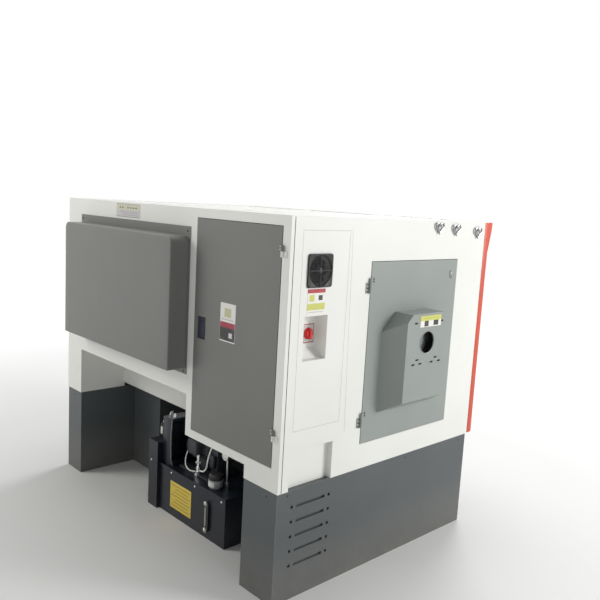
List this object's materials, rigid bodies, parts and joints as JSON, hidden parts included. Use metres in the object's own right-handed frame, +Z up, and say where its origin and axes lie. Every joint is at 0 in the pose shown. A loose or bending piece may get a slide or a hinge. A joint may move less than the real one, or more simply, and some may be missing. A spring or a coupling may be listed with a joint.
{
  "type": "cnc turning lathe",
  "caption": "Slant-bed turning lathe in a closed sheet-metal guard with sliding front door, rear electrical cabinet, side drive door, control panel and hydraulic unit.",
  "frame": {"origin": "centre of the footprint of the whole machine, on the floor", "axes": "+X towards the tailstock end, -X the headstock end, -Y the front with the sliding door, +Y the rear with the electrical cabinet, +Z up"},
  "size_m": [2.1914, 1.74, 1.75],
  "materials": {
    "base_headstock": "semi-matt",
    "base_tailstock": "semi-matt",
    "base_skirt": "semi-matt",
    "coolant_tank": "semi-matt",
    "slant_bed": "painted casting",
    "z_screw": "ground",
    "headstock": "painted casting",
    "spindle": "ground",
    "chuck_jaw_a": "hardened",
    "chuck_jaw_b": "hardened",
    "chuck_jaw_c": "hardened",
    "spindle_motor": "semi-matt",
    "motor_pulley": "turned",
    "drive_belt": "matt",
    "saddle": "painted casting",
    "cross_slide": "painted casting",
    "turret": "ground",
    "tailstock": "painted casting",
    "quill": "ground",
    "guard_left": "powder coat",
    "guard_rear": "powder coat",
    "chip_chute": "scuffed",
    "rear_frame": "powder coat",
    "recess_liner": "powder coat",
    "rear_cover": "powder coat",
    "cabinet_shell": "powder coat",
    "drive_plate": "mixed",
    "cabinet_door": "powder coat",
    "cabinet_latch": "satin",
    "end_frame": "powder coat",
    "switch_pocket": "powder coat",
    "switch_knob": "moulded",
    "end_door": "powder coat",
    "spindle_cover": "powder coat",
    "end_hinge_upper": "satin",
    "end_hinge_lower": "satin",
    "end_latch": "moulded",
    "fan_guard": "moulded",
    "fan_rotor": "moulded",
    "front_frame": "powder coat",
    "front_door": "powder coat",
    "door_window": "smoked",
    "door_handle": "polished",
    "roof": "powder coat",
    "tail_panel": "powder coat",
    "tail_cover": "powder coat",
    "control_box": "satin",
    "control_face": "moulded",
    "estop_button": "moulded",
    "start_button": "moulded",
    "override_dial": "moulded",
    "selector_a": "moulded",
    "selector_b": "moulded",
    "selector_c": "moulded",
    "pocket_tray": "powder coat",
    "grab_handle": "polished",
    "hpu_tank": "semi-gloss",
    "hpu_cooler": "semi-matt",
    "hpu_motor": "semi-matt",
    "hpu_cap": "moulded"
  },
  "bodies": {
    "machine": {"base_headstock": "base_headstock", "base_tailstock": "base_tailstock", "base_skirt": "base_skirt", "slant_bed": "slant_bed", "headstock": "headstock", "spindle_motor": "spindle_motor", "drive_belt": "drive_belt", "guard_left": "guard_left", "guard_rear": "guard_rear", "chip_chute": "chip_chute", "rear_frame": "rear_frame", "recess_liner": "recess_liner", "rear_cover": "rear_cover", "cabinet_shell": "cabinet_shell", "drive_plate": "drive_plate", "end_frame": "end_frame", "switch_pocket": "switch_pocket", "end_hinge_upper": "end_hinge_upper", "end_hinge_lower": "end_hinge_lower", "fan_guard": "fan_guard", "front_frame": "front_frame", "roof": "roof", "tail_panel": "tail_panel", "tail_cover": "tail_cover", "control_box": "control_box", "control_face": "control_face", "pocket_tray": "pocket_tray", "grab_handle": "grab_handle", "hpu_tank": "hpu_tank", "hpu_cooler": "hpu_cooler", "hpu_motor": "hpu_motor"},
    "front_door": {"front_door": "front_door", "door_window": "door_window", "door_handle": "door_handle"},
    "cabinet_door": {"cabinet_door": "cabinet_door"},
    "cabinet_latch": {"cabinet_latch": "cabinet_latch"},
    "end_door": {"end_door": "end_door", "spindle_cover": "spindle_cover"},
    "end_latch": {"end_latch": "end_latch"},
    "fan": {"fan_rotor": "fan_rotor"},
    "main_switch": {"switch_knob": "switch_knob"},
    "spindle": {"spindle": "spindle"},
    "jaw_a": {"chuck_jaw_a": "chuck_jaw_a"},
    "jaw_b": {"chuck_jaw_b": "chuck_jaw_b"},
    "jaw_c": {"chuck_jaw_c": "chuck_jaw_c"},
    "motor_pulley": {"motor_pulley": "motor_pulley"},
    "saddle": {"saddle": "saddle"},
    "cross_slide": {"cross_slide": "cross_slide"},
    "turret": {"turret": "turret"},
    "z_screw": {"z_screw": "z_screw"},
    "tailstock": {"tailstock": "tailstock"},
    "quill": {"quill": "quill"},
    "coolant_tank": {"coolant_tank": "coolant_tank"},
    "estop_button": {"estop_button": "estop_button"},
    "start_button": {"start_button": "start_button"},
    "override_dial": {"override_dial": "override_dial"},
    "selector_a": {"selector_a": "selector_a"},
    "selector_b": {"selector_b": "selector_b"},
    "selector_c": {"selector_c": "selector_c"},
    "filler_cap": {"hpu_cap": "hpu_cap"}
  },
  "joints": [
    {"name": "front_door_slide", "type": "slide", "parent": "machine", "child": "front_door", "axis": [-1, 0, 0], "range_m": [0, 0.52]},
    {"name": "cabinet_door_hinge", "type": "hinge", "parent": "machine", "child": "cabinet_door", "pos_m": [-0.94075, 0.7675, 1.17], "axis": [0, 0, 1], "range_deg": [0, 115]},
    {"name": "cabinet_latch_lift", "type": "hinge", "parent": "cabinet_door", "child": "cabinet_latch", "pos_m": [-0.40545, 0.759, 1.173], "axis": [0, 0, 1], "range_deg": [0, 35], "stiffness_Nm_per_rad": 0.05},
    {"name": "end_door_hinge", "type": "hinge", "parent": "machine", "child": "end_door", "pos_m": [-0.99125, 0.247, 1.1], "axis": [0, 0, -1], "range_deg": [0, 110]},
    {"name": "end_latch_turn", "type": "hinge", "parent": "end_door", "child": "end_latch", "pos_m": [-0.98605, -0.4, 1.476], "axis": [1, 0, 0], "range_deg": [0, 90]},
    {"name": "fan_spin", "type": "hinge", "parent": "machine", "child": "fan", "pos_m": [-0.96875, 0.5815, 1.5163], "axis": [1, 0, 0], "continuous": true},
    {"name": "main_switch_turn", "type": "hinge", "parent": "machine", "child": "main_switch", "pos_m": [-0.92375, 0.565, 1.225], "axis": [1, 0, 0], "range_deg": [0, 90]},
    {"name": "spindle_spin", "type": "hinge", "parent": "machine", "child": "spindle", "pos_m": [-0.58375, -0.085, 1.153], "axis": [1, 0, 0], "continuous": true},
    {"name": "jaw_a_slide", "type": "slide", "parent": "spindle", "child": "jaw_a", "axis": [0, 0, 1], "range_m": [-0.006, 0.004]},
    {"name": "jaw_b_slide", "type": "slide", "parent": "spindle", "child": "jaw_b", "axis": [0, -0.866, -0.5], "range_m": [-0.006, 0.004]},
    {"name": "jaw_c_slide", "type": "slide", "parent": "spindle", "child": "jaw_c", "axis": [0, 0.866, -0.5], "range_m": [-0.006, 0.004]},
    {"name": "motor_pulley_spin", "type": "hinge", "parent": "machine", "child": "motor_pulley", "pos_m": [-0.88375, -0.355, 0.8], "axis": [1, 0, 0], "continuous": true},
    {"name": "saddle_slide", "type": "slide", "parent": "machine", "child": "saddle", "axis": [1, 0, 0], "range_m": [-0.15, 0.25]},
    {"name": "z_screw_spin", "type": "hinge", "parent": "machine", "child": "z_screw", "pos_m": [-0.38375, 0.05303, 1.01497], "axis": [1, 0, 0], "continuous": true},
    {"name": "cross_slide_travel", "type": "slide", "parent": "saddle", "child": "cross_slide", "axis": [0, -0.7071, -0.7071], "range_m": [0, 0.14]},
    {"name": "turret_index", "type": "hinge", "parent": "cross_slide", "child": "turret", "pos_m": [-0.00375, 0.12713, 1.36513], "axis": [1, 0, 0], "continuous": true},
    {"name": "tailstock_slide", "type": "slide", "parent": "machine", "child": "tailstock", "axis": [-1, 0, 0], "range_m": [0, 0.1]},
    {"name": "quill_slide", "type": "slide", "parent": "tailstock", "child": "quill", "axis": [-1, 0, 0], "range_m": [0, 0.05]},
    {"name": "coolant_tank_slide", "type": "slide", "parent": "machine", "child": "coolant_tank", "axis": [0, -1, 0], "range_m": [0, 0.6]},
    {"name": "estop_press", "type": "slide", "parent": "machine", "child": "estop_button", "axis": [0, 1, 0], "range_m": [0, 0.005], "stiffness_N_per_m": 800},
    {"name": "start_press", "type": "slide", "parent": "machine", "child": "start_button", "axis": [0, 1, 0], "range_m": [0, 0.005], "stiffness_N_per_m": 500},
    {"name": "override_turn", "type": "hinge", "parent": "machine", "child": "override_dial", "pos_m": [0.78625, -0.848, 1.135], "axis": [0, 1, 0], "range_deg": [-135, 135]},
    {"name": "selector_a_turn", "type": "hinge", "parent": "machine", "child": "selector_a", "pos_m": [0.56625, -0.848, 1.135], "axis": [0, 1, 0], "range_deg": [-45, 45]},
    {"name": "selector_b_turn", "type": "hinge", "parent": "machine", "child": "selector_b", "pos_m": [0.63625, -0.848, 1.135], "axis": [0, 1, 0], "range_deg": [-45, 45]},
    {"name": "selector_c_turn", "type": "hinge", "parent": "machine", "child": "selector_c", "pos_m": [0.70625, -0.848, 1.135], "axis": [0, 1, 0], "range_deg": [-45, 45]},
    {"name": "filler_cap_turn", "type": "hinge", "parent": "machine", "child": "filler_cap", "pos_m": [-0.28375, 0.57, 0.3], "axis": [0, 0, 1], "range_deg": [0, 90]}
  ],
  "couplings": [
    {"joint": "jaw_b_slide", "follows": "jaw_a_slide", "ratio": 1},
    {"joint": "jaw_c_slide", "follows": "jaw_a_slide", "ratio": 1},
    {"joint": "motor_pulley_spin", "follows": "spindle_spin", "ratio": 1.9091},
    {"joint": "z_screw_spin", "follows": "saddle_slide", "rad_per_m": 628.32}
  ]
}
